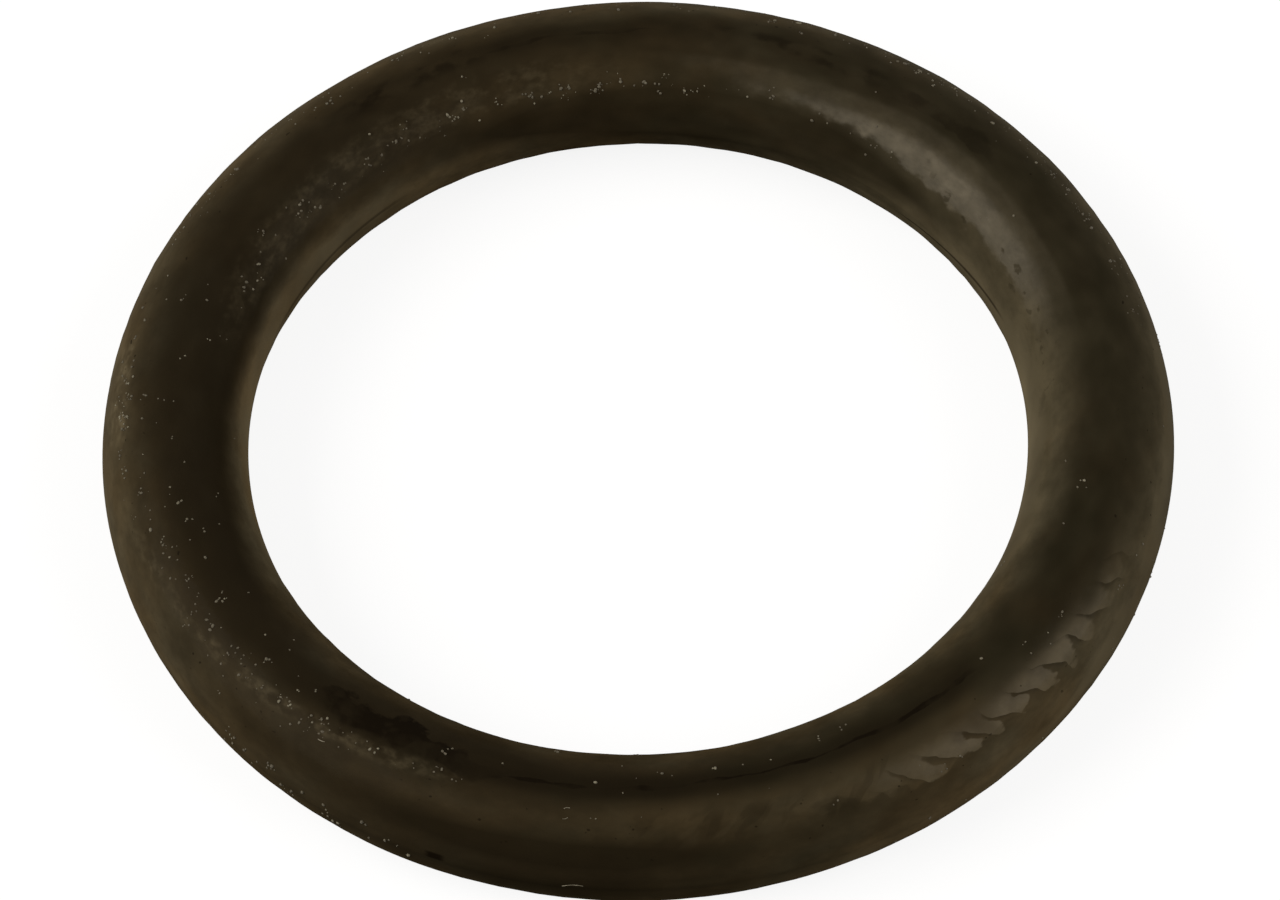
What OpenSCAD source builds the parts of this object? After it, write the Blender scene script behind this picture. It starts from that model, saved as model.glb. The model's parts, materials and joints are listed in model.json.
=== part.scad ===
// Rubber o-ring, moulded in one piece between two mould halves.
// The ring lies flat: its axis is Z and its parting plane is Z = 0.

/* [Ring] */
// Inner diameter, across the round section and not its flash
inner_d = 19; // [8:0.5:60]
// Diameter of the round section
section_d = 3.5; // [1.6:0.1:6]

/* [Parting line] */
// Width of the trimmed flash that runs round the inside
inner_flash_w = 0.16; // [0.1:0.02:0.3]
// How far the inside flash stands above the round section
inner_flash_h = 0.05; // [0.02:0.01:0.1]
// Width of the trimmed flash that runs round the outside
outer_flash_w = 0.12; // [0.1:0.02:0.3]
// How far the outside flash stands above the round section
outer_flash_h = 0.03; // [0.02:0.01:0.1]
// Radius of the root where a flash runs into the round section
flash_root_r = 0.03; // [0.02:0.01:0.1]

/* [Hidden] */

section_r = section_d / 2;
// From the ring's axis to the centre of its section
ring_r = inner_d / 2 + section_r;
// A root arc dips this far into the round section, so that the two always meet
root_dip = 0.0001;

ring_sides = 180;
section_sides = 90;
root_sides = 32;

// Black rubber with a warm brown cast
rubber = [0.16, 0.14, 0.10];

// One flash in profile, pointing along +X from the section's centre.
// Its crown is straight, so that it sweeps a narrow cylindrical land.
module flash_profile(width, height) {
    crown_x = section_r + height;
    // Centre of the root arc, which touches the flash's side and the round section
    root_y = width / 2 + flash_root_r;
    root_x = sqrt(pow(section_r + flash_root_r - root_dip, 2) - pow(root_y, 2));
    beyond = height + flash_root_r;
    difference() {
        polygon([
            [0, 0],
            [root_x, -root_y],
            [crown_x, -root_y],
            [crown_x, root_y],
            [root_x, root_y]
        ]);
        for (side = [-1, 1])
            translate([root_x, side * root_y]) {
                circle(flash_root_r, $fn = root_sides);
                translate([0, -flash_root_r])
                    square([beyond, 2 * flash_root_r]);
            }
    }
}

// The moulded section: a full round with a flash on each side of it
module section_profile() {
    circle(section_r, $fn = section_sides);
    flash_profile(outer_flash_w, outer_flash_h);
    mirror([1, 0])
        flash_profile(inner_flash_w, inner_flash_h);
}

module o_ring() {
    color(rubber)
        rotate_extrude($fn = ring_sides)
            translate([ring_r, 0])
                section_profile();
}

o_ring();
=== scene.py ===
import json
import math
import random

import bpy
from mathutils import Matrix, Vector
from mathutils.bvhtree import BVHTree


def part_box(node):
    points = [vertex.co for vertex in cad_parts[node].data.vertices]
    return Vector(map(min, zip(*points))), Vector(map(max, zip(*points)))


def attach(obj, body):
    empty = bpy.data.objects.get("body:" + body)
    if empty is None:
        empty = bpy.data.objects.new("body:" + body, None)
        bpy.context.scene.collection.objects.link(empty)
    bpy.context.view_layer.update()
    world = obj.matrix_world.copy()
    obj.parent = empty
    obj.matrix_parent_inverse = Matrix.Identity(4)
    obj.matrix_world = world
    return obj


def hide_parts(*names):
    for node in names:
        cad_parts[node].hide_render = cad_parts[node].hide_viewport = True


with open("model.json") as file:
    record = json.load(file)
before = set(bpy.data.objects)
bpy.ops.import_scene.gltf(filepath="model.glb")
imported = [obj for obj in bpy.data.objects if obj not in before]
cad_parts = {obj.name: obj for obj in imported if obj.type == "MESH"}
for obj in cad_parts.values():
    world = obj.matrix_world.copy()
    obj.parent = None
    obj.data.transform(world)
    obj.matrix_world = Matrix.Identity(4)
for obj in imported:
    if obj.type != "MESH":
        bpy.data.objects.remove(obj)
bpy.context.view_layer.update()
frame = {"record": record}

# Camera.
# A long lens looks down on the ring from the front. The ring's far side is up in
# the picture, and the whole ring is turned a little anticlockwise.
MM = 0.001
camera_elevation = math.radians(54.55)
camera_roll = math.radians(-1.99)
camera_distance = 417 * MM
camera_lens = 483
photo_width = 1280
# How far the ring's centre lies left of the picture's centre, and above it, in photo pixels
centre_left = 2.0
centre_above = 5.5

camera_data = bpy.data.cameras.new("camera")
camera_data.sensor_width = 36
camera_data.lens = camera_lens
camera_data.shift_x = centre_left / photo_width
camera_data.shift_y = -centre_above / photo_width
camera_data.clip_start = 10 * MM
camera_data.clip_end = 10
camera = bpy.data.objects.new("camera", camera_data)
bpy.context.scene.collection.objects.link(camera)
bpy.context.scene.camera = camera
camera_tilt = Matrix.Rotation(math.pi / 2 - camera_elevation, 4, "X")
camera_turn = camera_tilt @ Matrix.Rotation(camera_roll, 4, "Z")
camera_back = Vector((0, -math.cos(camera_elevation), math.sin(camera_elevation)))
camera.matrix_world = Matrix.Translation(camera_back * camera_distance) @ camera_turn

# Floor and light.
# A pale matt table, lit by a large soft box on the left and another on the right and
# nearer the camera, with a dim room around them.
bpy.context.scene.view_settings.view_transform = "Standard"
cad_low, cad_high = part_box("o_ring")
floor_size = 1.6
floor_paint = (0.45, 0.45, 0.45, 1)
# What the camera and reflections see of the floor: mostly white, with the rest left for the shadow
floor_white = 0.86
floor_shadow_share = 0.4
room_light = 0.2
room_seen = 1.0
box_distance = 0.6


def deselect_all():
    """Leaves nothing selected, in object mode."""
    if bpy.context.object and bpy.context.object.mode != "OBJECT":
        bpy.ops.object.mode_set(mode="OBJECT")
    bpy.ops.object.select_all(action="DESELECT")


def add_node(tree, kind, values=None, links=None, **settings):
    """A node of a shader tree, with values and links for its inputs by name or number."""
    node = tree.nodes.new(kind)
    for name, value in settings.items():
        setattr(node, name, value)
    for name, value in (values or {}).items():
        node.inputs[name].default_value = value
    for name, socket in (links or {}).items():
        tree.links.new(socket, node.inputs[name])
    return node


def calc(tree, operation, a, b=0.0, c=None):
    """One step of arithmetic on sockets or numbers."""
    node = add_node(tree, "ShaderNodeMath", operation=operation)
    for place, part in enumerate((a, b) if c is None else (a, b, c)):
        if isinstance(part, bpy.types.NodeSocket):
            tree.links.new(part, node.inputs[place])
        else:
            node.inputs[place].default_value = part
    return node.outputs[0]


def more(tree, base, share, amount):
    """The base and a share of the amount on top, all sockets or numbers."""
    return calc(tree, "MULTIPLY_ADD", share, amount, base)


def highest(tree, *parts):
    """The greatest of several sockets or numbers."""
    result = parts[0]
    for part in parts[1:]:
        result = calc(tree, "MAXIMUM", result, part)
    return result


def seen_rays(tree):
    """1 where a camera, glossy or transmission ray looks, 0 for the light itself."""
    path = add_node(tree, "ShaderNodeLightPath")
    kinds = ("Is Camera Ray", "Is Glossy Ray", "Is Transmission Ray")
    return highest(tree, *[path.outputs[kind] for kind in kinds])


def soft_box(name, azimuth, elevation, width, height, radiance, colour):
    """A rectangular lamp that faces the ring. Azimuth 0 is +X, 90 is away from the camera."""
    a = math.radians(azimuth)
    e = math.radians(elevation)
    lamp = bpy.data.lights.new(name, "AREA")
    lamp.shape = "RECTANGLE"
    lamp.size = width
    lamp.size_y = height
    lamp.energy = radiance * math.pi * width * height
    lamp.color = colour
    box = bpy.data.objects.new(name, lamp)
    bpy.context.scene.collection.objects.link(box)
    out = Vector((math.cos(e) * math.cos(a), math.cos(e) * math.sin(a), math.sin(e)))
    facing = out.to_track_quat("Z", "Y").to_matrix().to_4x4()
    box.matrix_world = Matrix.Translation(out * box_distance) @ facing
    box.visible_camera = False


deselect_all()
bpy.ops.mesh.primitive_plane_add(size=floor_size, location=(0, 0, cad_low.z))
floor = bpy.context.object
floor.name = "floor"
floor_material = bpy.data.materials.new("pale_floor")
floor_material.use_nodes = True
tree = floor_material.node_tree
tree.nodes.clear()
matt = add_node(tree, "ShaderNodeBsdfDiffuse", {"Color": floor_paint})
shade_paint = [floor_shadow_share * part for part in floor_paint[:3]] + [1]
shade = add_node(tree, "ShaderNodeBsdfDiffuse", {"Color": shade_paint})
white = add_node(tree, "ShaderNodeEmission", {"Color": (1, 1, 1, 1), "Strength": floor_white})
bright = add_node(tree, "ShaderNodeAddShader", links={0: shade.outputs[0], 1: white.outputs[0]})
mix = add_node(
    tree, "ShaderNodeMixShader",
    links={0: seen_rays(tree), 1: matt.outputs[0], 2: bright.outputs[0]},
)
add_node(tree, "ShaderNodeOutputMaterial", links={"Surface": mix.outputs[0]})
floor.data.materials.append(floor_material)

world = bpy.data.worlds.new("room")
bpy.context.scene.world = world
world.use_nodes = True
tree = world.node_tree
tree.nodes.clear()
level = more(tree, room_light, seen_rays(tree), room_seen - room_light)
room = add_node(tree, "ShaderNodeBackground", {"Color": (1, 1, 1, 1)}, {"Strength": level})
add_node(tree, "ShaderNodeOutputWorld", links={"Surface": room.outputs[0]})

soft_box("left_box", 188, 36, 0.60, 0.50, 4.5, (1.0, 0.97, 0.91))
soft_box("right_box", -18, 32, 0.55, 0.56, 2.7, (1.0, 0.97, 0.92))

# O-ring.
# One piece of black rubber, moulded between two halves, so a trimmed flash runs
# round its inside and its outside. It lies flat on the table.
mounts = {mount["name"]: mount for mount in frame["record"]["mounts"]}
section_r = cad_high.z
inner_crown_r = mounts["inner_seat"]["dims"]["r_mm"] * MM
inner_flash_w = mounts["inner_seat"]["dims"]["length_mm"] * MM
outer_crown_r = mounts["outer_seat"]["dims"]["r_mm"] * MM
outer_flash_w = mounts["outer_seat"]["dims"]["length_mm"] * MM
inner_flash_h = 0.05 * MM
ring_r = inner_crown_r + inner_flash_h + section_r
outer_flash_h = outer_crown_r - ring_r - section_r
# As many steps round the ring as the torus operator makes
around_steps = 256
# With this many round the section, each flash is one strip each side of the parting
# plane, 0.18 mm wide in all
section_steps = 120
# The band on each side of the parting plane in which the flash is worn
outer_worn = 0.15 * MM
inner_worn = 0.25 * MM
# How far from the parting plane the waves and lumps start, and where they are full
skin_from, skin_full = 0.12 * MM, 0.45 * MM
# Places on the ring are given in degrees: around from +X, and section from the
# outside, over the top at 90, to the inside at 180.
# The slow waves and the lumps that the mould left in the skin
wave_size = 3.5 * MM
wave_height = 0.030 * MM
lump_size = 0.55 * MM
lump_height = 0.028 * MM
# Slanted lobes on the lower right, where the ring once stuck to something. Each has
# one steep side, and its edge draws back from there to the next.
lobe_from, lobe_to = -59, -26
lobe_first = -30.0
lobe_pitch = 4.3
# How far a lobe leans along the ring for each degree of section off its pivot
lobe_slant = 0.16
lobe_pivot = 45
lobe_low, lobe_high = 31, 58
# The row fades over this far beyond its ends, and from this far above to below its top
lobe_fade = 7
lobe_above, lobe_below = 8, 12
lobe_dip = 22
lobe_round = 2.2
lobe_height = 0.022 * MM


def select_faces(obj, wanted):
    """In edit mode, selects the faces whose centre wanted() accepts, and nothing else."""
    bpy.ops.mesh.select_all(action="DESELECT")
    bpy.ops.object.mode_set(mode="OBJECT")
    for face in obj.data.polygons:
        face.select = wanted(face.center)
    bpy.ops.object.mode_set(mode="EDIT")


def select_edges(obj, wanted):
    """In edit mode, selects the edges whose two ends wanted() accepts, and nothing else."""
    bpy.ops.mesh.select_all(action="DESELECT")
    bpy.ops.object.mode_set(mode="OBJECT")
    corners = obj.data.vertices
    for edge in obj.data.edges:
        edge.select = all(wanted(corners[v].co) for v in edge.vertices)
    bpy.ops.object.mode_set(mode="EDIT")


def raise_flash(obj, inside, half_w, height):
    """Extrudes one flash from the strips of faces next to the parting plane."""

    def on_flash(place):
        return abs(place.z) < half_w and (place.xy.length < ring_r) == inside

    select_faces(obj, on_flash)
    bpy.ops.mesh.extrude_region_shrink_fatten(TRANSFORM_OT_shrink_fatten={"value": height})


def ease(value, low, high):
    """A smooth rise from 0 at low to 1 at high, or a fall where low is the greater."""
    t = min(max((value - low) / (high - low), 0), 1)
    return t * t * (3 - 2 * t)


def ring_angles(place):
    """The around and section angles of a place on the ring, in degrees."""
    around = math.degrees(math.atan2(place.y, place.x))
    section = math.degrees(math.atan2(place.z, place.xy.length - ring_r))
    return around, section + 360 if section < -90 else section


def lobe_weight(place):
    """How much of a lobe stands at a place: 1 on its crown, 0 off it."""
    around, section = ring_angles(place)
    turn = (around - lobe_first + lobe_slant * (section - lobe_pivot)) / lobe_pitch
    edge = lobe_low + lobe_dip * (turn % 1) ** lobe_round
    within = ease(around, lobe_from - lobe_fade, lobe_from) * ease(around, lobe_to + lobe_fade, lobe_to)
    below_top = ease(section, lobe_high + lobe_above, lobe_high - lobe_below)
    return within * ease(section, edge - 2, edge + 6) * below_top


def clear_of_flash(place):
    """1 on the round, falling to 0 at the flash."""
    return ease(abs(place.z), skin_from, skin_full)


def mould_skin(obj, name, weight, height, texture=None):
    """Pushes the skin in and out by a texture, or by its weight alone."""
    group = obj.vertex_groups.new(name=name)
    for corner in obj.data.vertices:
        share = weight(corner.co)
        if share > 0:
            group.add([corner.index], share, "REPLACE")
    push = obj.modifiers.new(name, "DISPLACE")
    push.vertex_group = name
    push.strength = height
    push.mid_level = 0.0
    if texture:
        push.texture = texture
        push.texture_coords = "LOCAL"
        push.mid_level = 0.5
    bpy.ops.object.modifier_apply(modifier=name)
    obj.vertex_groups.remove(obj.vertex_groups[name])


def cloud_texture(name, size, depth):
    """Soft noise with features of about the given size."""
    texture = bpy.data.textures.new(name, "CLOUDS")
    texture.noise_scale = size
    texture.noise_depth = depth
    return texture


deselect_all()
bpy.ops.mesh.primitive_torus_add(
    major_segments=around_steps, minor_segments=section_steps,
    major_radius=ring_r, minor_radius=section_r,
)
ring = bpy.context.object
ring.name = "rubber_ring"
bpy.ops.object.mode_set(mode="EDIT")
bpy.context.tool_settings.mesh_select_mode = (False, False, True)
raise_flash(ring, True, inner_flash_w / 2, inner_flash_h)
raise_flash(ring, False, outer_flash_w / 2, outer_flash_h)
# The flash is worn: almost flush outside, and soft inside
bpy.context.tool_settings.mesh_select_mode = (False, True, False)
select_edges(ring, lambda place: abs(place.z) < outer_worn and place.xy.length > ring_r)
bpy.ops.mesh.vertices_smooth(factor=0.5, repeat=6)
select_edges(ring, lambda place: abs(place.z) < inner_worn and place.xy.length < ring_r)
bpy.ops.mesh.vertices_smooth(factor=0.5, repeat=12)
bpy.ops.object.mode_set(mode="OBJECT")
mould_skin(ring, "waves", clear_of_flash, wave_height, cloud_texture("waves", wave_size, 0))
mould_skin(ring, "lumps", clear_of_flash, lump_height, cloud_texture("lumps", lump_size, 1))
mould_skin(ring, "lobes", lobe_weight, lobe_height)

# Its finish.
# Near-black rubber with a warm film on its sides that thins towards the front, the film's
# paleness partly painted light from the lamps and its thinning painted shade; pale bloom
# with painted highlights at the upper and lower right; black dirt in a crease; painted
# shade along the inside flash; and a faint gloss.
dark_brown = (0.0113, 0.0080, 0.0039, 1)
dark_olive = (0.0110, 0.0089, 0.0041, 1)
# Film colours; at full strength they are also the painted light on the sides that face the lamps
film_and_lit_brown = (0.069, 0.0485, 0.0233, 1)
film_and_lit_olive = (0.068, 0.0550, 0.0320, 1)
# The bloom colours also paint the lamps' highlights at the upper and lower right
bloom_and_highlight_grey = (0.098, 0.077, 0.044, 1)
bloom_and_highlight_upper = (0.098, 0.081, 0.053, 1)
# Dirt, also used for the painted shade along the inside flash
dirt_and_shade_black = (0.0060, 0.0040, 0.0020, 1)
# The gloss of the bare rubber, and what the film and each bloom add to it
gloss_bare = 0.009
gloss_film = 0.012
gloss_upper = 0.08
gloss_lobes = 0.07
# The camera-facing side of the round, towards which the film is thinned as painted shade
shaded_towards = (-0.21, -0.98)
pore_depth = 0.010 * MM
grain_depth = 0.014 * MM


def ramp(tree, value, low, high):
    """A smooth rise from 0 at low to 1 at high, or a fall where low is the greater."""
    node = add_node(tree, "ShaderNodeMapRange", interpolation_type="SMOOTHSTEP", links={"Value": value})
    for name, part in (("From Min", low), ("From Max", high)):
        if isinstance(part, bpy.types.NodeSocket):
            tree.links.new(part, node.inputs[name])
        else:
            node.inputs[name].default_value = part
    return node.outputs["Result"]


def product(tree, *parts):
    """All the sockets or numbers multiplied."""
    result = parts[0]
    for part in parts[1:]:
        result = calc(tree, "MULTIPLY", result, part)
    return result


def band(tree, value, start, full, ebb, end):
    """1 from full to ebb, easing to 0 at start and end."""
    return product(tree, ramp(tree, value, start, full), ramp(tree, value, end, ebb))


def blend(tree, share, first, second):
    """A colour between two colours, which are sockets or plain."""
    node = add_node(tree, "ShaderNodeMix", data_type="RGBA", links={0: share})
    for place, part in ((6, first), (7, second)):
        if isinstance(part, bpy.types.NodeSocket):
            tree.links.new(part, node.inputs[place])
        else:
            node.inputs[place].default_value = part
    return node.outputs[2]


def vary(tree, noise, amount):
    """Turns noise about 0.5 into a factor about 1."""
    return more(tree, 1 - amount, noise, 2 * amount)


def ring_places(tree):
    """Sockets for where a point is on the ring: its two angles, and their cosines and sines."""
    spot = add_node(tree, "ShaderNodeTexCoord").outputs["Object"]
    xyz = add_node(tree, "ShaderNodeSeparateXYZ", links={0: spot})
    x, y, z = (calc(tree, "MULTIPLY", socket, 1 / MM) for socket in xyz.outputs)
    reach = calc(tree, "SQRT", calc(tree, "ADD", product(tree, x, x), product(tree, y, y)))
    beyond = calc(tree, "SUBTRACT", reach, ring_r / MM)
    section = calc(tree, "DEGREES", calc(tree, "ARCTAN2", z, beyond))
    return {
        "around": calc(tree, "DEGREES", calc(tree, "ARCTAN2", y, x)),
        "section": calc(tree, "WRAP", section, 270, -90),
        "around_cos": calc(tree, "DIVIDE", x, reach),
        "around_sin": calc(tree, "DIVIDE", y, reach),
        "section_cos": calc(tree, "MULTIPLY", beyond, MM / section_r),
        "section_sin": calc(tree, "MULTIPLY", z, MM / section_r),
    }


def mottle(tree, at, along, across, seed, detail=2.0):
    """Noise that closes on itself round the ring, with spots of about along by across millimetres."""
    wide = ring_r / MM / along
    high = section_r / MM / across
    spot = add_node(
        tree, "ShaderNodeCombineXYZ",
        links={
            0: calc(tree, "MULTIPLY", at["around_cos"], wide),
            1: calc(tree, "MULTIPLY", at["around_sin"], wide),
            2: calc(tree, "MULTIPLY", at["section_cos"], high),
        },
    )
    noise = add_node(
        tree, "ShaderNodeTexNoise", {"Scale": 1.0, "Detail": detail},
        {"Vector": spot.outputs[0], "W": more(tree, 7.0 * seed, at["section_sin"], high)},
        noise_dimensions="4D",
    )
    return noise.outputs["Fac"]


def near(tree, at, centre, half, soft):
    """1 within half degrees of an around angle, easing to 0 over the next soft degrees."""
    off = calc(tree, "WRAP", calc(tree, "SUBTRACT", at["around"], centre), 180, -180)
    return ramp(tree, calc(tree, "ABSOLUTE", off), half + soft, half)


rubber_material = bpy.data.materials.new("black_rubber")
rubber_material.use_nodes = True
tree = rubber_material.node_tree
tree.nodes.clear()
at = ring_places(tree)
around = at["around"]
section = at["section"]
around_cos = at["around_cos"]
around_sin = at["around_sin"]
broad = mottle(tree, at, 2.4, 1.3, 1, 3.0)
patches = mottle(tree, at, 0.9, 0.55, 2, 1.5)
flecks = mottle(tree, at, 0.22, 0.13, 3, 3.0)
dabs = mottle(tree, at, 0.50, 0.50, 15, 3.0)
jagged = more(tree, -14.0, mottle(tree, at, 0.5, 0.25, 6, 3.0), 28.0)

# The film grows down both sides of the round. It thickens sooner at the front and back
# and, on the inside, starts higher on the right. Its paleness on the sides is partly painted
# light from the lamps on the left and right, and the top, which they light less, is left dark.
spread = more(tree, calc(tree, "SUBTRACT", section, 10.0), broad, 20.0)
ends = calc(tree, "POWER", calc(tree, "ABSOLUTE", around_sin), 4.0)
outer_start = more(tree, 82.0, around_cos, -8.0)
outer_side = ramp(tree, spread, outer_start, more(tree, 3.0, ends, 31.0))
outer_side = product(tree, outer_side, more(tree, 1.0, ramp(tree, around_sin, 0.1, 0.8), 0.42))
inner_start = more(tree, 106.0, around_cos, -17.0)
inner_start = more(tree, inner_start, near(tree, at, -115, 25, 30), -13.0)
inner_start = more(tree, inner_start, near(tree, at, 0, 15, 20), 6.0)
inner_start = more(tree, inner_start, near(tree, at, 178, 14, 18), 6.0)
inner_spread = more(tree, spread, near(tree, at, 138, 22, 22), -11.0)
inner_spread = more(tree, inner_spread, near(tree, at, -152, 14, 18), 7.0)
inner_side = ramp(tree, inner_spread, inner_start, more(tree, 160.0, around_cos, -8.0))

# It is thicker still low down on each side, and more so outside from the right to the front:
# painted light, which makes up for the shade near the table
low_side = highest(tree, product(tree, ramp(tree, section, 15, -20), 0.5), ramp(tree, section, 148, 185))
low_front = product(tree, ramp(tree, section, 12, -15), 0.75)
low_side = more(tree, low_side, near(tree, at, -40, 25, 15), low_front)
low_right = product(tree, ramp(tree, section, 40, 12), 0.6)
low_side = more(tree, low_side, near(tree, at, 8, 18, 15), low_right)
side = calc(tree, "ADD", low_side, highest(tree, outer_side, inner_side))

# Painted shade: the film is thinned where the round faces the camera, from where no light comes
facing = more(tree, product(tree, around_cos, shaded_towards[0]), around_sin, shaded_towards[1])
facing = product(tree, at["section_cos"], facing)
camera_shade = product(tree, facing, more(tree, 1.35, band(tree, section, 10, 45, 150, 185), 0.45))
away_from_camera = calc(tree, "MINIMUM", calc(tree, "SUBTRACT", 1.36, camera_shade), 1.0)
away_from_camera = calc(tree, "POWER", highest(tree, away_from_camera, 0.0), 0.8)
thickness = product(tree, vary(tree, patches, 0.5), vary(tree, flecks, 0.35))
film_and_light = product(tree, side, away_from_camera, thickness)

# A thin haze lies over everything, most at the back right, with dusty spots inside at
# the back left
haze = more(tree, 0.10, calc(tree, "ADD", around_cos, around_sin), 0.045)
haze = product(tree, haze, vary(tree, patches, 0.9), vary(tree, broad, 0.9))
dusty = product(tree, near(tree, at, 128, 20, 24), band(tree, section, 102, 120, 134, 142))
haze = more(tree, haze, product(tree, dusty, vary(tree, flecks, 1.5)), 0.07)
film_and_light = calc(tree, "ADD", film_and_light, highest(tree, haze, 0.0))

# At the lower right front the film is thicker between the crease and a scalloped edge,
# a band of the right lamp's light painted into it
scallops = more(tree, -20.0, mottle(tree, at, 1.0, 1.0, 22, 1.0), 40.0)
mass_edge = more(tree, 34.0, ramp(tree, around, -58, -76), 19.0)
mass_edge = calc(tree, "ADD", more(tree, mass_edge, jagged, 0.5), scallops)
mass_soft = more(tree, 3.0, ramp(tree, around, -70, -78), 13.0)
mass = ramp(tree, section, mass_edge, calc(tree, "ADD", mass_edge, mass_soft))
mass = product(tree, mass, ramp(tree, section, 84, 66), near(tree, at, -68, 18, 12))
film_and_light = more(tree, film_and_light, mass, 0.22)

# It comes in blotches, and is palest deep inside, at the right and at the left, where the
# inner wall faces a lamp across the hole: painted light there
blotches = mottle(tree, at, 1.0, 0.7, 24, 2.0)
film_and_light = product(tree, calc(tree, "MINIMUM", film_and_light, 1.0), vary(tree, blotches, 0.4))
deep = highest(tree, near(tree, at, -17, 22, 15), near(tree, at, -174, 16, 20))
film_and_light = more(tree, film_and_light, deep, product(tree, ramp(tree, section, 142, 176), 0.6))

# The film and the rubber drift between brown and olive, with more olive at the left and
# right and most at the upper right. A film over 1 is paler than its own colour.
tint = more(tree, 0.275, mottle(tree, at, 1.9, 1.0, 4, 2.0), 0.45)
hue_dark = ramp(tree, more(tree, tint, around_cos, 0.15), 0.40, 0.72)
across = product(tree, calc(tree, "ABSOLUTE", around_cos), 1.15)
across = more(tree, across, around_cos, 0.5)
rightward = highest(tree, around_cos, 0.0)
across = more(tree, across, product(tree, around_sin, rightward), 1.2)
hue_film = ramp(tree, more(tree, tint, across, 0.14), 0.44, 0.72)
colour = blend(
    tree, film_and_light,
    blend(tree, hue_dark, dark_brown, dark_olive),
    blend(tree, hue_film, film_and_lit_brown, film_and_lit_olive),
)
colour.node.clamp_factor = False

# Slanting strokes in the film at the front
stroke_spot = add_node(
    tree, "ShaderNodeCombineXYZ",
    links={
        0: more(tree, product(tree, section, -0.045), around, 0.32),
        1: more(tree, product(tree, section, 0.022), around, 0.09),
    },
)
strokes = add_node(
    tree, "ShaderNodeTexNoise", {"Scale": 1.0, "Detail": 2.0, "Distortion": 0.5},
    {"Vector": stroke_spot.outputs[0]}, noise_dimensions="2D",
).outputs["Fac"]
stroke_zone = product(tree, near(tree, at, -76, 12, 12), band(tree, section, 34, 44, 58, 72))
pale_strokes = product(tree, stroke_zone, ramp(tree, strokes, 0.50, 0.66), 0.06)
dark_strokes = product(tree, stroke_zone, ramp(tree, strokes, 0.44, 0.37), 0.26)
colour = blend(tree, pale_strokes, colour, bloom_and_highlight_grey)
colour = blend(tree, dark_strokes, colour, dark_brown)

# Bloom in the lobes at the lower right, with the right lamp's highlight painted into them,
# and painted shadow in the gaps between them
lobe_turn = more(tree, -lobe_first - lobe_pivot * lobe_slant, section, lobe_slant)
lobe_turn = calc(tree, "MULTIPLY", calc(tree, "ADD", around, lobe_turn), 1 / lobe_pitch)
waver = more(tree, -0.8, mottle(tree, at, 1.5, 0.7, 5, 2.0), 1.6)
lobe_turn = calc(tree, "ADD", lobe_turn, waver)
drawn_back = calc(tree, "POWER", calc(tree, "FRACT", lobe_turn), lobe_round)
lobe_edge = calc(tree, "ADD", more(tree, lobe_low, drawn_back, lobe_dip), jagged)
lobe_soft = more(tree, 3.0, ramp(tree, around, -54, -72), 12.0)
lobe_soft = more(tree, lobe_soft, ramp(tree, around, -38, -28), 9.0)
lobe_zone = product(
    tree,
    ramp(tree, section, lobe_high + lobe_above, lobe_high - lobe_below),
    near(tree, at, (lobe_from + lobe_to) / 2, (lobe_to - lobe_from) / 2, lobe_fade),
)
lobes = product(tree, ramp(tree, section, lobe_edge, calc(tree, "ADD", lobe_edge, lobe_soft)), lobe_zone)
each_lobe = vary(tree, mottle(tree, at, 1.5, 1.2, 18, 1.0), 2.2)
lobes = product(tree, lobes, calc(tree, "MINIMUM", each_lobe, 1.2))
gap_shadow = product(tree, lobe_zone, ramp(tree, drawn_back, 0.50, 0.95), ramp(tree, section, 34, 42))
colour = blend(tree, product(tree, lobes, vary(tree, dabs, 1.3), 0.46), colour, bloom_and_highlight_grey)
colour = blend(tree, product(tree, gap_shadow, 0.30), colour, dark_brown)

# Bloom on the inside at the upper right, with the left lamp's highlight painted into it:
# smooth above, ragged below, and pitted where it fades out
ragged = calc(tree, "SUBTRACT", section, 17.0)
ragged = more(tree, ragged, mottle(tree, at, 0.55, 0.35, 7, 4.0), 34.0)
from_middle = calc(tree, "SUBTRACT", around, 35.0)
lower_edge = more(tree, 140.0, product(tree, from_middle, from_middle), -0.012)
edge_soft = more(tree, 3.0, ramp(tree, around, 48, 72), 8.0)
above_edge = ramp(
    tree, ragged,
    calc(tree, "ADD", lower_edge, edge_soft),
    calc(tree, "SUBTRACT", lower_edge, edge_soft),
)
ridge = more(tree, section, ramp(tree, around, 42, 66), -10.0)
ridges = product(tree, ramp(tree, ridge, 97, 103), 0.35)
ridges = more(tree, ridges, ramp(tree, ridge, 111, 121), 0.65)
upper_bloom_and_highlight = product(tree, ridges, above_edge, near(tree, at, 48, 20, 26))
spine = product(tree, near(tree, at, 43, 8, 16), band(tree, ragged, 112, 120, 128, 140))
sheen = product(tree, vary(tree, mottle(tree, at, 0.30, 0.16, 16, 3.0), 0.9), vary(tree, dabs, 1.0))
pits = ramp(tree, mottle(tree, at, 0.36, 0.24, 8, 3.0), 0.58, 0.65)
pits = product(tree, pits, near(tree, at, 22, 16, 10), band(tree, section, 116, 124, 140, 148))
upper_share = product(tree, upper_bloom_and_highlight, sheen, more(tree, 0.32, spine, 0.26))
colour = blend(tree, upper_share, colour, bloom_and_highlight_upper)
colour = blend(tree, product(tree, pits, 0.38), colour, dark_olive)

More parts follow.
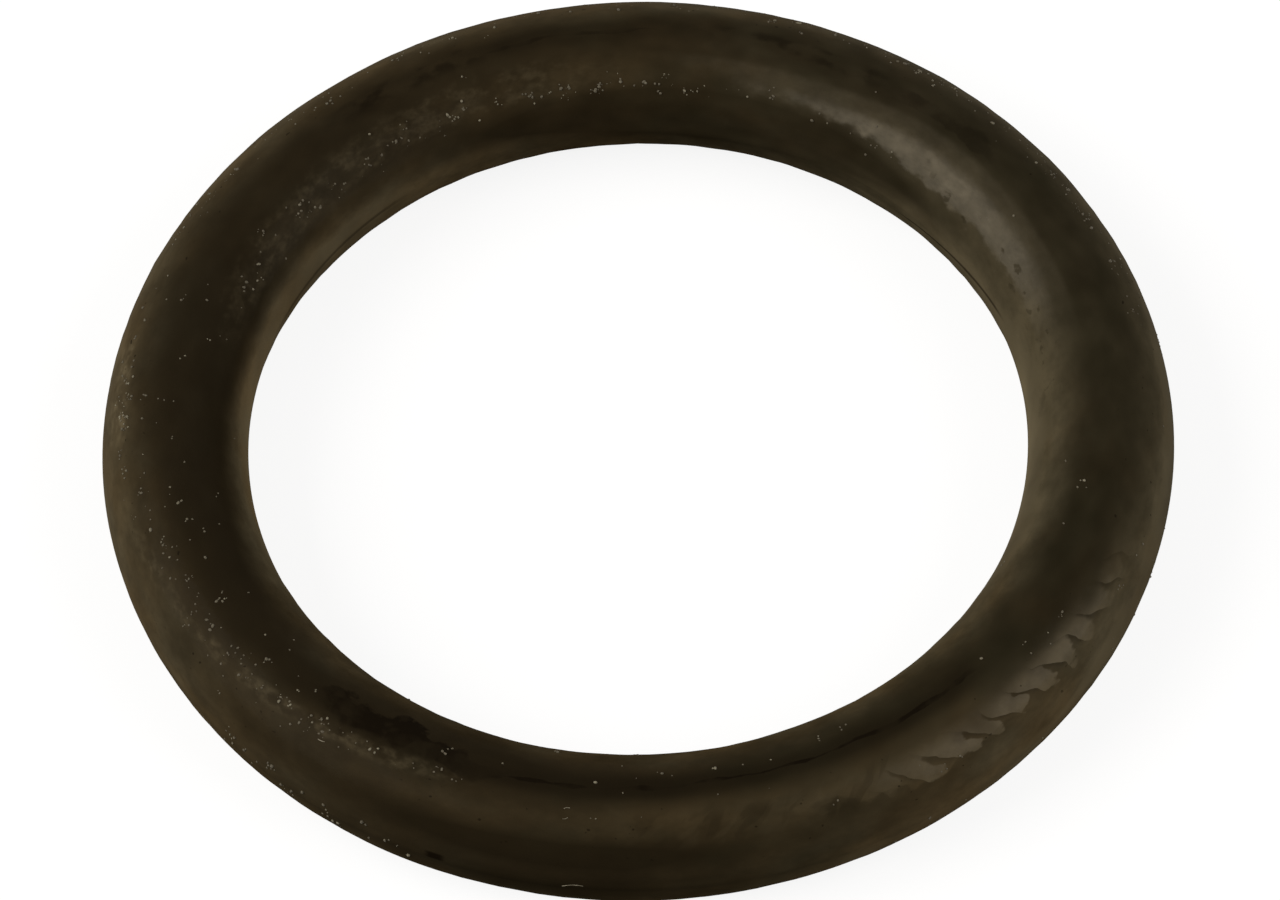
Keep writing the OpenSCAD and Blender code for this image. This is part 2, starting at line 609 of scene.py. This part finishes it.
# Pale crumbs, lines and patches: on the left shoulder, at the far left, near the outside
# at the lower right, beside the parting line inside, and inside at the back left. The band
# beside the parting line is a painted highlight on the lit upper side of the flash.
crumbs = ramp(tree, mottle(tree, at, 0.40, 0.28, 9, 4.0), 0.42, 0.64)
crumbs = product(tree, crumbs, vary(tree, flecks, 1.8))
off_shoulder = calc(tree, "SUBTRACT", section, more(tree, 146.0, around, 0.62))
off_shoulder = calc(tree, "ABSOLUTE", off_shoulder)
shoulder = product(tree, ramp(tree, off_shoulder, 10, 2), near(tree, at, -141, 20, 12), crumbs)
left_patch = product(tree, near(tree, at, 174, 4, 5), band(tree, section, 26, 34, 44, 54), crumbs, 2.6)
below_streak = calc(tree, "SUBTRACT", section, more(tree, 72.2, around, 1.72))
rim_streak = product(tree, near(tree, at, -40, 7, 5), band(tree, below_streak, -22, -8, -1, 2))
rim_streak = product(tree, rim_streak, vary(tree, dabs, 1.0))
# Painted highlight: a pale band above the inside flash, where its upper side catches the light
inside = highest(tree, near(tree, at, 141, 10, 12), near(tree, at, 37, 13, 12))
inside = product(tree, inside, band(tree, section, 158, 166, 175, 177.5), 0.5)
pale = highest(tree, shoulder, left_patch, rim_streak, inside, product(tree, dusty, crumbs, 0.6))
colour = blend(tree, product(tree, pale, 0.27), colour, bloom_and_highlight_grey)

# Dirt: a thin crease along the top at the front, which opens into a torn black patch
# at the lower left and has two short stretches at the back
crease_line = more(tree, 81.0, mottle(tree, at, 2.2, 2.0, 10, 2.0), 16.0)
off_crease = calc(tree, "SUBTRACT", section, crease_line)
below_crease = ramp(tree, off_crease, 2, -3)
off_crease = calc(tree, "ABSOLUTE", off_crease)
torn = calc(tree, "SUBTRACT", mottle(tree, at, 0.85, 0.5, 11, 4.0), 0.45)
blot = product(tree, near(tree, at, 46, 5, 6), 0.5)
blot = highest(tree, band(tree, around, -137, -131, -119, -104), blot)
crease_half = more(tree, 0.5, torn, 9.0)
crease_half = more(tree, crease_half, blot, more(tree, 6.5, torn, 46.0))
crease_half = highest(tree, crease_half, 0.0)
crease_soft = more(tree, 2.5, below_crease, 7.0)
crease_edge = calc(tree, "ADD", crease_half, more(tree, 1.4, blot, crease_soft))
crease_back = product(tree, near(tree, at, 97, 8, 5), 0.6)
crease_reach = highest(tree, near(tree, at, -78, 28, 8), crease_back, blot)
broken = more(tree, 0.5, ramp(tree, mottle(tree, at, 0.7, 0.5, 17, 2.0), 0.36, 0.56), 0.5)
holes = product(tree, blot, ramp(tree, dabs, 0.50, 0.40), 0.35)
broken = calc(tree, "SUBTRACT", broken, holes)
crease = product(tree, ramp(tree, off_crease, crease_edge, crease_half), crease_reach, broken)
beside_crease = product(tree, ramp(tree, off_crease, 14, 3), crease_reach, 0.40)

# More dirt: pores, dark smudges high on the back, and a nick; and painted shade in the dark lines along
# the inside flash
pores = ramp(tree, mottle(tree, at, 0.17, 0.12, 13, 1.0), 0.72, 0.77)
pores = product(tree, pores, band(tree, section, 15, 25, 70, 80), 0.7)
smudges = highest(tree, near(tree, at, 118, 7, 6), product(tree, near(tree, at, 67, 8, 6), 0.9))
smudges = product(tree, smudges, band(tree, section, 76, 83, 90, 104), 0.62)
smudges = product(tree, smudges, ramp(tree, mottle(tree, at, 0.75, 0.45, 21, 3.0), 0.46, 0.62))
nick = product(tree, near(tree, at, -113.6, 0.5, 0.9), band(tree, section, -1, 1, 5, 8))
flash_shade_left = product(tree, band(tree, section, 177, 178.5, 180.5, 182), near(tree, at, 141, 10, 8), 0.45)
off_flash_shade = calc(tree, "SUBTRACT", section, more(tree, 158.8, around, 0.6))
off_flash_shade = calc(tree, "ABSOLUTE", off_flash_shade)
flash_shade_right = product(tree, ramp(tree, off_flash_shade, 2.0, 0.5), near(tree, at, 33, 10, 5), 0.7)
dirt_and_shade = highest(tree, crease, beside_crease, smudges, pores, nick, flash_shade_left, flash_shade_right)
colour = blend(tree, dirt_and_shade, colour, dirt_and_shade_black)

# The gloss fades towards the underside, and the front and the left of the inner wall
# have none
gloss = more(tree, gloss_bare, away_from_camera, gloss_film)
unpitted = calc(tree, "SUBTRACT", 1.0, pits)
gloss = more(tree, gloss, product(tree, upper_bloom_and_highlight, unpitted), gloss_upper)
gloss = more(tree, gloss, lobes, gloss_lobes)
gloss = product(tree, gloss, band(tree, section, -15, 20, 160, 190))
front = ramp(tree, more(tree, around_sin, around_cos, 0.4), 0.0, -0.6)
front_wall = product(tree, front, ramp(tree, section, 105, 135))
gloss = product(tree, gloss, calc(tree, "SUBTRACT", 1.0, front_wall))
roughness = more(tree, 0.35, patches, 0.4)
grain = add_node(
    tree, "ShaderNodeBump", {"Strength": 0.5, "Distance": grain_depth},
    {"Height": mottle(tree, at, 0.30, 0.22, 14, 2.0)},
)
pored = add_node(
    tree, "ShaderNodeBump", {"Strength": 0.5, "Distance": pore_depth},
    {"Height": flecks, "Normal": grain.outputs[0]},
)
shader = add_node(
    tree, "ShaderNodeBsdfPrincipled",
    {"Specular IOR Level": 0.0, "Coat Roughness": 0.22},
    {
        "Base Color": colour, "Roughness": roughness, "Coat Weight": gloss,
        "Normal": pored.outputs[0], "Coat Normal": pored.outputs[0],
    },
)
add_node(tree, "ShaderNodeOutputMaterial", links={"Surface": shader.outputs[0]})
ring.data.materials.append(rubber_material)
deselect_all()
ring.select_set(True)
bpy.context.view_layer.objects.active = ring
bpy.ops.object.shade_smooth()
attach(ring, "root")
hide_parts("o_ring")

# Dust specks.
# Pale grains that cling to the rubber, thickest round the back of the hole, on the
# left shoulder and under the lower left rim. One grain is modelled and copied.
grain_size = 0.033 * MM
# How far out of the skin the middle of a grain lies, as a share of its size
grain_lift = 0.12
dice = random.Random(11)
# Each trail of dust: where it starts and ends (around, section), how far its grains
# stray (around, section), how many there are, and their size.
dust_trails = [
    ((42, 139), (100, 134), (3, 4), 46, 1.0),
    ((100, 134), (140, 130), (3, 4), 38, 1.0),
    ((136, 131), (163, 128), (3, 4), 26, 1.0),
    ((110, 120), (160, 118), (6, 6), 12, 0.9),
    ((72, 139), (142, 134), (4, 5), 60, 0.5),
    ((150, 78), (228, 78), (4, 8), 36, 0.95),
    ((150, 98), (226, 100), (4, 9), 20, 0.85),
    ((178, 66), (230, 62), (4, 5), 50, 1.0),
    ((200, 48), (246, 75), (3, 4), 38, 0.9),
    ((140, 48), (196, 46), (4, 6), 38, 1.0),
    ((172, 50), (180, 45), (1, 4), 40, 0.9),
    ((20, 50), (60, 58), (3, 5), 44, 1.1),
    ((60, 60), (135, 62), (4, 5), 36, 1.0),
    ((221, 2), (243, 2), (2, 7), 44, 1.1),
    ((300, 36), (385, 34), (6, 7), 16, 1.0),
    ((318, 62), (326, 58), (3, 6), 9, 0.9),
    ((-15, 2), (20, 6), (3, 7), 16, 1.0),
    ((262, 92), (300, 104), (5, 8), 16, 0.9),
    ((0, 95), (360, 95), (0, 36), 66, 0.85),
    ((12, 46), (64, 50), (2, 5), 90, 0.45),
    ((64, 50), (150, 52), (2, 6), 110, 0.45),
    ((190, 56), (240, 66), (4, 8), 45, 0.45),
    ((-66, -6), (18, 2), (4, 6), 20, 0.9),
]
# The share of grains that have a place of their own, and how far the rest stray from
# the last grain
own_place = 0.6
close_by = (0.5, 2.5)
# A ray towards the skin starts this far above the round
ray_lead = 0.3 * MM
skin = BVHTree.FromObject(ring, bpy.context.evaluated_depsgraph_get())


def on_skin(around, section):
    """The place on the ring's skin at two angles in degrees, and the way out of the round there."""
    a = math.radians(around)
    s = math.radians(section)
    out = Vector((math.cos(a) * math.cos(s), math.sin(a) * math.cos(s), math.sin(s)))
    middle = Vector((math.cos(a), math.sin(a), 0)) * ring_r
    place = skin.ray_cast(middle + out * (section_r + ray_lead), -out)[0]
    return place, out


# The fine speckle of dust and lint: noise at a given scale, and a mask made from it
speckle = bpy.data.node_groups.new("speckle", "ShaderNodeTree")
speckle.interface.new_socket(name="Scale", in_out="INPUT", socket_type="NodeSocketFloat")
speckle.interface.new_socket(name="Tone", in_out="OUTPUT", socket_type="NodeSocketFloat")
speckle.interface.new_socket(name="Pale", in_out="OUTPUT", socket_type="NodeSocketFloat")
scale = add_node(speckle, "NodeGroupInput").outputs["Scale"]
spot = add_node(speckle, "ShaderNodeTexCoord").outputs["Object"]
tone = add_node(
    speckle, "ShaderNodeTexNoise", {"Detail": 2.0}, {"Vector": spot, "Scale": scale},
).outputs["Fac"]
add_node(speckle, "NodeGroupOutput", links={"Tone": tone, "Pale": ramp(speckle, tone, 0.35, 0.65)})

deselect_all()
bpy.ops.mesh.primitive_cube_add(size=grain_size)
first_grain = bpy.context.object
first_grain.name = "dust_specks"
bpy.ops.object.mode_set(mode="EDIT")
bpy.ops.mesh.select_all(action="SELECT")
bpy.ops.mesh.subdivide(number_cuts=1)
bpy.ops.transform.tosphere(value=0.7)
bpy.ops.transform.vertex_random(offset=0.14 * grain_size, seed=3)
bpy.ops.object.mode_set(mode="OBJECT")

dust_dull = (0.070, 0.058, 0.036, 1)
dust_pale = (0.172, 0.152, 0.104, 1)
dust_dark = (0.058, 0.047, 0.029, 1)
dust_material = bpy.data.materials.new("pale_dust")
dust_material.use_nodes = True
tree = dust_material.node_tree
tree.nodes.clear()
fine = add_node(tree, "ShaderNodeGroup", {"Scale": 6000.0}, node_tree=speckle)
dust_colour = blend(tree, fine.outputs["Pale"], dust_dull, dust_pale)
# Whole batches of grains are darker
spot = add_node(tree, "ShaderNodeTexCoord").outputs["Object"]
batch = add_node(
    tree, "ShaderNodeTexNoise", {"Scale": 1400.0, "Detail": 1.0}, {"Vector": spot},
).outputs["Fac"]
batch = product(tree, ramp(tree, batch, 0.42, 0.52), 0.75)
dust_colour = blend(tree, batch, dust_colour, dust_dark)
shader = add_node(
    tree, "ShaderNodeBsdfPrincipled", {"Specular IOR Level": 0.3},
    {"Base Color": dust_colour, "Roughness": more(tree, 0.5, fine.outputs["Tone"], 0.4)},
)
add_node(tree, "ShaderNodeOutputMaterial", links={"Surface": shader.outputs[0]})
first_grain.data.materials.append(dust_material)

grains = []
for start, end, stray, count, size in dust_trails:
    for number in range(count):
        if number == 0 or dice.random() < own_place:
            share = dice.random()
            around = start[0] + share * (end[0] - start[0]) + dice.gauss(0, stray[0])
            section = start[1] + share * (end[1] - start[1]) + dice.gauss(0, stray[1])
        else:
            around += dice.gauss(0, close_by[0])
            section += dice.gauss(0, close_by[1])
        place, out = on_skin(around, section)
        grain_copy = first_grain.copy()
        grain_copy.data = first_grain.data.copy()
        bpy.context.scene.collection.objects.link(grain_copy)
        girth = size * dice.triangular(0.5, 2.1, 0.75)
        flat = Matrix.Diagonal((girth * dice.uniform(0.8, 1.5), girth, girth * dice.uniform(0.5, 0.9), 1))
        stand = out.to_track_quat("Z", "Y").to_matrix().to_4x4()
        spin = Matrix.Rotation(dice.uniform(0, 2 * math.pi), 4, "Z")
        lift = Matrix.Translation(place + out * girth * grain_size * grain_lift)
        grain_copy.matrix_world = lift @ stand @ spin @ flat
        grains.append(grain_copy)
bpy.data.objects.remove(first_grain)
deselect_all()
for grain_copy in grains:
    grain_copy.select_set(True)
bpy.context.view_layer.objects.active = grains[0]
bpy.ops.object.join()
bpy.ops.object.transform_apply(location=True, rotation=True, scale=True)
dust = bpy.context.object
dust.name = "dust_specks"
bpy.ops.object.shade_smooth()
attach(dust, "root")

# Lint.
# A few short pale fibres lie on the front of the ring and at its lower left.
# Each is one thin strand that follows the skin.
lint_r = 0.009 * MM
# How far the middle of a strand lies above the skin, as a share of its radius
lint_lift = 0.9
lint_steps = 8
lint_dull = (0.09, 0.075, 0.045, 1)
lint_pale = (0.24, 0.21, 0.15, 1)
# Each fibre's two ends (around, section) and how far it bows sideways, in degrees
fibres = [
    ((-100.0, 68.2), (-99.3, 69.0), 0.6),
    ((-100.0, 60.0), (-99.4, 61.4), -0.4),
    ((-99.6, 0.0), (-97.4, 2.0), 1.3),
    ((-130.2, 56.0), (-129.3, 57.0), -0.4),
]

lint_material = bpy.data.materials.new("pale_lint")
lint_material.use_nodes = True
tree = lint_material.node_tree
tree.nodes.clear()
fine = add_node(tree, "ShaderNodeGroup", {"Scale": 5000.0}, node_tree=speckle)
lint_colour = blend(tree, fine.outputs["Pale"], lint_dull, lint_pale)
shader = add_node(tree, "ShaderNodeBsdfPrincipled", {"Roughness": 0.8}, {"Base Color": lint_colour})
add_node(tree, "ShaderNodeOutputMaterial", links={"Surface": shader.outputs[0]})

strands = []
for start, end, bow in fibres:
    line = []
    for step in range(lint_steps + 1):
        share = step / lint_steps
        around = start[0] + share * (end[0] - start[0])
        section = start[1] + share * (end[1] - start[1]) + bow * math.sin(math.pi * share)
        place, out = on_skin(around, section)
        line.append(place + out * lint_r * lint_lift)
    heading = (line[-1] - line[0]).to_track_quat("Z", "Y")
    deselect_all()
    bpy.ops.mesh.primitive_circle_add(
        vertices=8, radius=lint_r, fill_type="NGON",
        location=line[0], rotation=heading.to_euler(),
    )
    strand = bpy.context.object
    bpy.ops.object.transform_apply(location=True, rotation=True, scale=True)
    bpy.ops.object.mode_set(mode="EDIT")
    bpy.ops.mesh.select_all(action="SELECT")
    for step in range(lint_steps):
        bpy.ops.mesh.extrude_region_move(TRANSFORM_OT_translate={"value": line[step + 1] - line[step]})
    bpy.ops.mesh.select_all(action="SELECT")
    bpy.ops.mesh.normals_make_consistent(inside=False)
    bpy.ops.object.mode_set(mode="OBJECT")
    strand.data.materials.append(lint_material)
    strands.append(strand)
deselect_all()
for strand in strands:
    strand.select_set(True)
bpy.context.view_layer.objects.active = strands[0]
bpy.ops.object.join()
lint = bpy.context.object
lint.name = "lint"
bpy.ops.object.shade_smooth()
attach(lint, "root")
